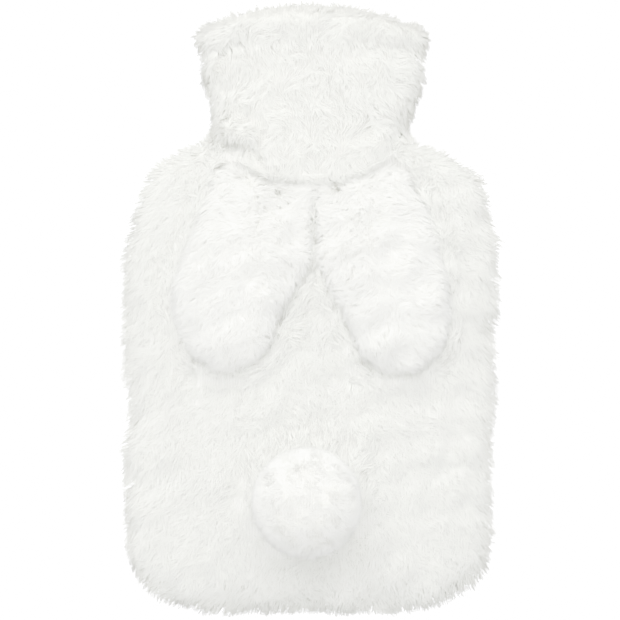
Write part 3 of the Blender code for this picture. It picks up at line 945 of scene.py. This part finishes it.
# This backing shows inside the mouth and between the locks of the roll. It is a darker copy of
# the bag's white knit, painted shade so that it matches the shaded pile there.
collar_cloth.data.materials.append(knit_material("shaded_collar_knitted_backing", "#C2C0B9", "#D4D2CB"))
collar_pile = grow_pile(
    "collar_pile", collar_skin, 48000, 300, COLLAR_PILE_LENGTH, COLLAR_PILE_LEAN, comb_collar,
    COLLAR_PILE_DEPTH + ROOT_BELOW_CLOTH, tuft=0.5 * MM, swirl=1.4, swell=0.7 * MM,
    lift=rise_on_collar, overhang=hang_over_lip, ruffle_and_shade=ruffle_and_shade_on_roll,
)
collar_pile.data.materials.append(white_plush)
for piece in (collar_cloth, collar_pile):
    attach(piece, "root")
    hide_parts("collar")

# ---------------------------------------------------------------------------
# The ears: two flaps of the same plush with a little filling, sewn into the
# neck seam under the collar. They hang over the front of the bag.
# ---------------------------------------------------------------------------
EAR_PILE_DEPTH = 3.4 * MM
EAR_PILE_LENGTH = 8.5 * MM
EAR_PILE_LEAN = 60
FILLING_PRESSURE = 4.0
FILLING_FRAMES = 20


def puff_up(pad, most):
    """Swells a pad with a short cloth simulation, no point moving further than most."""
    before = np.array([vertex.co for vertex in pad.data.vertices])
    cloth = pad.modifiers.new("fill", "CLOTH")
    cloth.settings.use_pressure = True
    cloth.settings.uniform_pressure_force = FILLING_PRESSURE
    cloth.settings.effector_weights.gravity = 0.0
    scene = bpy.context.scene
    scene.frame_start = 1
    scene.frame_end = FILLING_FRAMES
    for step in range(1, FILLING_FRAMES + 1):
        scene.frame_set(step)
    finish_modifiers(pad)
    after = np.array([vertex.co for vertex in pad.data.vertices])
    moved = after - before
    reach = np.linalg.norm(moved, axis=1, keepdims=True)
    moved *= np.minimum(1.0, most / np.maximum(reach, 1e-9))
    pad.data.vertices.foreach_set("co", (before + moved).astype(np.float32).ravel())
    scene.frame_set(1)


EAR_PUFF = 1.2 * MM
EAR_VOXEL = 4 * MM
# Its darker root colour is painted shade deep in the pile.
dense_plush = plush_material(
    "white_dense_pile_plush", "#E6E5DC", "#FEFEF9", shade_at_root=1.0
)
CLEFT = 2.4 * MM
CLEFT_REACH = 10 * MM
CLEFT_OPENS = 50 * MM
CLEFT_OPENS_OVER = 8 * MM
EAR_FRINGE = 3 * MM
CLEFT_FILL = 2.5 * MM
UNDER_LIP_FILL = 5 * MM
EAR_OVERHANG = 6 * MM


def closing_cleft(places):
    """1 where the ears lie close together at their roots, falling to 0 away from there."""
    side = np.clip(1 - np.abs(places[:, 0] - CLEFT) / CLEFT_REACH, 0, 1)
    return side * np.clip((places[:, 1] - CLEFT_OPENS) / CLEFT_OPENS_OVER, 0, 1)


def ear_edge(normals):
    """1 at the ear's edge, where the cloth turns down, falling to 0 on its flat."""
    return np.clip(1 - np.abs(normals[:, 2] - 0.1) / 0.6, 0, 1)


def rise_on_ear(places, normals):
    """The ears' pile fills the cleft at their roots and crowds up under the lip."""
    fringe = ear_edge(normals) * EAR_FRINGE * np.abs(drift(places, RAGGED_SPAN, 75))
    return fringe + closing_cleft(places) * CLEFT_FILL + under_lip(places) * UNDER_LIP_FILL


def hang_off_ear(places, normals):
    """Pile runs on over the cleft, and past the ear's edge onto the bag."""
    return closing_cleft(places) * EAR_OVERHANG + ear_edge(normals) * EAR_OVERHANG


EAR_ROOT_ASIDE = 26 * MM
EAR_ROOT_ALONG = 86 * MM
EAR_SPREAD = 0.17
EAR_HALF_WIDTH = 30 * MM


def comb_ear(places, _):
    """Pile brushed from the ear's root to its tip and out over its edges."""
    flow = np.zeros_like(places)
    flow[:, 1] = -1.0
    side = np.sign(places[:, 0] - CLEFT)
    spine = side * (EAR_ROOT_ASIDE + (EAR_ROOT_ALONG - places[:, 1]) * EAR_SPREAD)
    flow[:, 0] = side * 0.1 + (places[:, 0] - spine) / EAR_HALF_WIDTH * 0.9
    flow[:, 2] = -0.8
    flow[:, 0] -= side * 2.2 * closing_cleft(places)
    return flow


def shows_on_ear(_, normal):
    """True for the ear's upper face and its edge, down to where it rests on the bag."""
    return normal.z > -0.35


def dress_ear(node, hairs, seed):
    """Filled pad and pile of one ear."""
    skin = outer_skin(node, shows_on_ear)
    pad = bare_copy(node, node + "_pad")
    sink(pad, EAR_PILE_DEPTH + EAR_PUFF)
    remesh = pad.modifiers.new("even", "REMESH")
    remesh.mode = "VOXEL"
    remesh.voxel_size = EAR_VOXEL
    finish_modifiers(pad)
    puff_up(pad, EAR_PUFF)
    smooth = pad.modifiers.new("smooth", "SUBSURF")
    smooth.levels = 1
    smooth.render_levels = 1
    finish_modifiers(pad)
    for face in pad.data.polygons:
        face.use_smooth = True
    pad.data.materials.append(white_knit)
    pile = grow_pile(
        node + "_pile", skin, hairs, seed, EAR_PILE_LENGTH, EAR_PILE_LEAN, comb_ear,
        EAR_PILE_DEPTH + ROOT_BELOW_CLOTH, gather=0.25, crown=0.5, edge_shading=0.1,
        lift=rise_on_ear, overhang=hang_off_ear,
    )
    pile.data.materials.append(dense_plush)
    for piece in (pad, pile):
        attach(piece, "root")
        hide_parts(node)


dress_ear("ear_left", hairs=22000, seed=400)
dress_ear("ear_right", hairs=22000, seed=500)

# ---------------------------------------------------------------------------
# The tail: a pompom of long fine fibres bound at the middle and sewn to the
# front panel. It is nearly a ball, pressed flat underneath.
# ---------------------------------------------------------------------------
tail_low, tail_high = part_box("tail")
TAIL_REACH = 31.6 * MM
TAIL_CORE = 28.3 * MM
TAIL_PILE_DEPTH = 3.8 * MM
FIBRE_LENGTH = 5 * MM
FIBRE_LEAN = 38
FIBRE_COMB_SPAN = 14 * MM
tail_middle = Vector((
    (tail_low.x + tail_high.x) / 2,
    (tail_low.y + tail_high.y) / 2,
    tail_high.z - TAIL_REACH,
))


def ball_of(name, middle, radius, segments, rings):
    """A ball whose faces come in the same order in every run, so that its hairs do too."""
    places = [middle + Vector((0.0, 0.0, radius))]
    for ring in range(1, rings):
        down = math.pi * ring / rings
        for segment in range(segments):
            turn = 2 * math.pi * segment / segments
            out = math.sin(down)
            way = Vector((out * math.cos(turn), out * math.sin(turn), math.cos(down)))
            places.append(middle + way * radius)
    places.append(middle - Vector((0.0, 0.0, radius)))
    bottom = len(places) - 1
    faces = []
    for segment in range(segments):
        after = (segment + 1) % segments
        faces.append((0, 1 + segment, 1 + after))
        faces.append((bottom, bottom - segments + after, bottom - segments + segment))
        for ring in range(rings - 2):
            upper = 1 + ring * segments
            lower = upper + segments
            faces.append((upper + segment, lower + segment, lower + after, upper + after))
    data = bpy.data.meshes.new(name)
    data.from_pydata(places, [], faces)
    data.update()
    ball = bpy.data.objects.new(name, data)
    bpy.context.scene.collection.objects.link(ball)
    return ball


ball = ball_of("ball", tail_middle, TAIL_REACH, segments=64, rings=40)
ball_skin = skin_of(ball)
bpy.data.objects.remove(ball)
tail_core = ball_of("tail_core", tail_middle, TAIL_CORE, segments=48, rings=32)
for vertex in tail_core.data.vertices:
    vertex.co.z = max(vertex.co.z, tail_low.z + 1 * MM)
for face in tail_core.data.polygons:
    face.use_smooth = True
tail_core.data.materials.append(white_knit)


def comb_tail(places, normals):
    """Pompom fibres lean every way, all by the same angle."""
    flow = np.stack([drift(places, FIBRE_COMB_SPAN, seed) for seed in (81, 82, 83)], axis=1)
    return unit(flow - normals * (flow * normals).sum(axis=1, keepdims=True))


def fluff(places, normals):
    """The ends of the fibres are cut unevenly, and blur the ball's outline."""
    low = np.clip(-normals[:, 1], 0, 1)
    side = 1 - np.clip(normals[:, 2], 0, 1)
    return (0.2 + 0.8 * side + 0.8 * low) * np.abs(drift(places, 1.1 * MM, 76)) * MM


tail_pile = grow_pile(
    "tail_pile", ball_skin, 26000, 600, FIBRE_LENGTH, FIBRE_LEAN, comb_tail, TAIL_PILE_DEPTH,
    gather=0.1, tuft=0.1 * MM, swell=0.0, roundness=0.2, crown=0.7, edge_shading=0.1,
    lift=fluff, blocks=block_of("front_panel"),
)
# Its darker root colour is painted shade deep in the fibres.
tail_pile.data.materials.append(
    plush_material("white_pompom_fibre", "#F1F0E9", "#FFFFFA", shade_at_root=1.0)
)
for piece in (tail_core, tail_pile):
    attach(piece, "root")
    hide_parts("tail")
